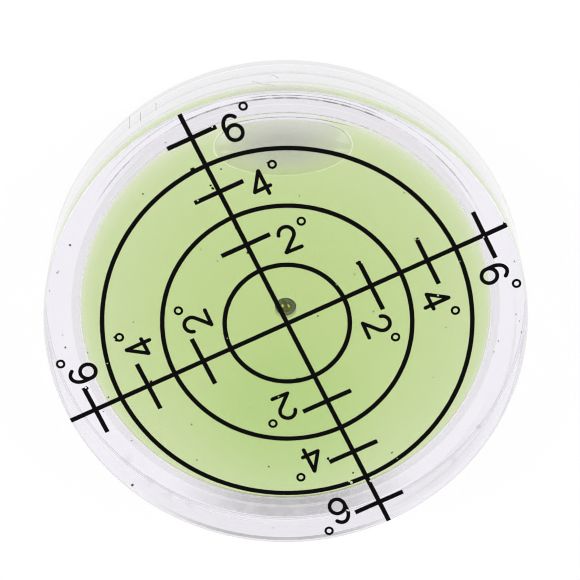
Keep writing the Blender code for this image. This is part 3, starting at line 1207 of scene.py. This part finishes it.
# %% Scratches on the side
SCRATCHES = [
    # angle round the wall in degrees and height in millimetres, from end to end
    [(72.2, 8.8), (70.9, 9.7), (69.9, 10.6), (68.2, 11.0), (66.6, 11.8)],
    [(68.3, 7.3), (67.2, 7.0), (66.6, 7.6), (65.9, 8.4)],
    [(104.6, 1.2), (104.3, 4.0), (104.2, 6.7)],
    [(101.2, 2.6), (100.8, 7.3)],
    [(96.6, 3.3), (96.4, 6.9)],
]
SCRATCH_HALF, SCRATCH_LIFT = 0.05 * MM, 0.004 * MM
SCRATCH = {"Base Color": (0.4, 0.4, 0.4), "Roughness": 0.9, "Specular IOR Level": 0.0}
SCRATCH["Alpha"] = 0.45


def outwards(angle):
    """The level direction away from the axis, at an angle in degrees."""
    return Vector((math.cos(math.radians(angle)), math.sin(math.radians(angle)), 0.0))


def scratch(path):
    """A thin bar along a path of angles and heights on the wall."""
    outs = [outwards(angle) for angle, height in path]
    points = [out * OUTER_R for out in outs]
    for point, (angle, height) in zip(points, path):
        point.z = height * MM
    rows = []
    for number, (point, out) in enumerate(zip(points, outs)):
        before, after = points[max(number - 1, 0)], points[min(number + 1, len(points) - 1)]
        side = (after - before).cross(out).normalized() * SCRATCH_HALF
        lift = out * SCRATCH_LIFT
        rows.append([point - side - lift, point + side - lift, point + side + lift])
        rows[-1].append(point - side + lift)
    return swept(rows)


made = bmesh.new()
for path in SCRATCHES:
    add_to(made, scratch(path))
scratches = place("side_scratches", made, [plain_material("scratch_grey", SCRATCH)])

# %% [markdown]
# ## Smudges inside the rim
#
# A smudge is a ball of two rings of faces, pressed flat just under the window. It has the material
# of the traces of cement: dark at the two poles and clear at the edge, so that it fades by itself.

# %% Smudges inside the rim
SMUDGES = [
    # x, y, radius in millimetres, and darkness
    (-28.5, -9.0, 0.9, 0.10),
    (-27.2, -13.2, 1.0, 0.10),
    (-25.6, -16.1, 0.9, 0.09),
    (-23.8, -18.7, 0.8, 0.09),
    (17.2, -25.6, 0.55, 0.22),
    (12.0, -28.5, 0.5, 0.16),
]
SMUDGE_DEPTH, SMUDGE_HALF = 0.3 * MM, 0.01 * MM  # under the window, and half its thickness
SMUDGE_SIDES, SMUDGE_RAGGED = 24, 0.35


def smudge(x, y, radius, dark):
    """A flat spot with a ragged edge, darkest in its middle."""
    made = bmesh.new()
    darkness_mark, _ = trace_marks(made)
    bmesh.ops.create_uvsphere(made, u_segments=SMUDGE_SIDES, v_segments=2, radius=1.0)
    for vert in made.verts:
        at_pole = abs(vert.co.z) > 0.5
        vert[darkness_mark] = dark if at_pole else 0.0
        reach = radius * MM * (1.0 + SMUDGE_RAGGED * noise.noise(Vector((vert.co.x, vert.co.y, x))))
        vert.co = Vector((vert.co.x * reach, vert.co.y * reach, vert.co.z * SMUDGE_HALF))
    bmesh.ops.translate(made, vec=(x * MM, y * MM, TOP_Z - SMUDGE_DEPTH), verts=made.verts)
    bmesh.ops.recalc_face_normals(made, faces=made.faces)
    return made


made = bmesh.new()
for spot in SMUDGES:
    add_to(made, smudge(*spot))
smudges = place("smudges", made, [trace_and_shade_material])

# %% [markdown]
# ## Table, world and lamps
#
# The level lies on a white table. Rays from the camera, and rays through the acrylic, see the table
# nearly as pure white, and the rest of it is a matte white that takes the level's shadow. The room is
# white at the height of the table and darker overhead, which is what gives the acrylic its grey
# edges. Two soft lamps stand on the left and on the right of the camera.

# %% Set the table
bpy.context.scene.view_settings.view_transform = "Standard"
table_white, graph = new_material("table_white")
path = graph.node("ShaderNodeLightPath").socket.node
seen = sum(
    Wire(graph, path.outputs[name])
    for name in ("Is Camera Ray", "Is Glossy Ray", "Is Transmission Ray")
)
WHITE_SHARE, WHITE_STRENGTH = 0.9, 1.025  # seen directly, and through the acrylic
TABLE_HALF = 5.0  # metres
TABLE_GAP = 0.02 * MM  # under the level
shadowed = graph.node("ShaderNodeBsdfDiffuse", {}, {"Color": (0.92, 0.92, 0.92)})
plain_white = {"Color": (1.0, 1.0, 1.0), "Strength": WHITE_STRENGTH}
shining = graph.node("ShaderNodeEmission", {}, plain_white)
share = seen.maths("MINIMUM", seen, 1.0) * WHITE_SHARE
graph.finish(
    "ShaderNodeOutputMaterial",
    graph.node("ShaderNodeMixShader", {}, [share, shadowed, shining]),
)
made = bmesh.new()
bmesh.ops.create_grid(made, x_segments=1, y_segments=1, size=TABLE_HALF)
bmesh.ops.translate(made, vec=(0.0, 0.0, -TABLE_GAP), verts=made.verts)
mesh = mesh_from(made, "table")
mesh.materials.append(table_white)
table = bpy.data.objects.new("table", mesh)
bpy.context.scene.collection.objects.link(table)
print("table:", 2 * TABLE_HALF, "m square")

# %% Light the room
ROOM_OVERHEAD = 0.3
WALL_TOP, OVERHEAD = 0.05, 0.4  # upward parts of a direction, between which the room gets darker
world = bpy.data.worlds.new("studio")
bpy.context.scene.world = world
graph = Graph(world)
path = graph.node("ShaderNodeLightPath").socket.node
direction = graph.node("ShaderNodeTexCoord", output="Generated")
up = graph.node("ShaderNodeSeparateXYZ", {}, [direction], output="Z")
overhead = graph.node(
    "ShaderNodeMapRange", {}, {"Value": up, "From Min": WALL_TOP, "From Max": OVERHEAD}
)
level = 1.0 - overhead * (1.0 - ROOM_OVERHEAD)
level = level.maths("MAXIMUM", level, Wire(graph, path.outputs["Is Camera Ray"]))
graph.finish(
    "ShaderNodeOutputWorld",
    graph.node("ShaderNodeBackground", {}, {"Color": (1.0, 1.0, 1.0), "Strength": level}),
)

# %% Set the lamps
LAMP_DISTANCE, LAMP_SIZE, LAMP_WATTS = 0.6, 0.45, 2.5
LAMP_ASIDE = 1.3  # sideways for each metre towards the camera
right = camera.rotation_quaternion @ Vector((1.0, 0.0, 0.0))
for name, side in (("lamp_left", -1.0), ("lamp_right", 1.0)):
    lamp_data = bpy.data.lights.new(name, "AREA")
    lamp_data.shape = "DISK"
    lamp_data.size = LAMP_SIZE
    lamp_data.energy = LAMP_WATTS
    lamp = bpy.data.objects.new(name, lamp_data)
    bpy.context.scene.collection.objects.link(lamp)
    aside = (towards_camera + right * side * LAMP_ASIDE).normalized()
    lamp.location = AIM + aside * LAMP_DISTANCE
    lamp.rotation_mode = "QUATERNION"
    lamp.rotation_quaternion = (-aside).to_track_quat("-Z", "Y")
    print(name, [round(value / MM) for value in lamp.location])

# %% [markdown]
# ## Enough bounces for stacked glass
#
# A ray crosses up to a dozen clear surfaces here before it meets the table. With Blender's default
# number of bounces some of the inner parts would turn dark.

# %% Set the bounces
cycles = bpy.context.scene.cycles
cycles.max_bounces = 32
cycles.transmission_bounces = 32
cycles.glossy_bounces = 16
cycles.transparent_max_bounces = 32
cycles.filter_width = 1.1  # pixels, a little sharper than by default
print("transmission bounces:", cycles.transmission_bounces)
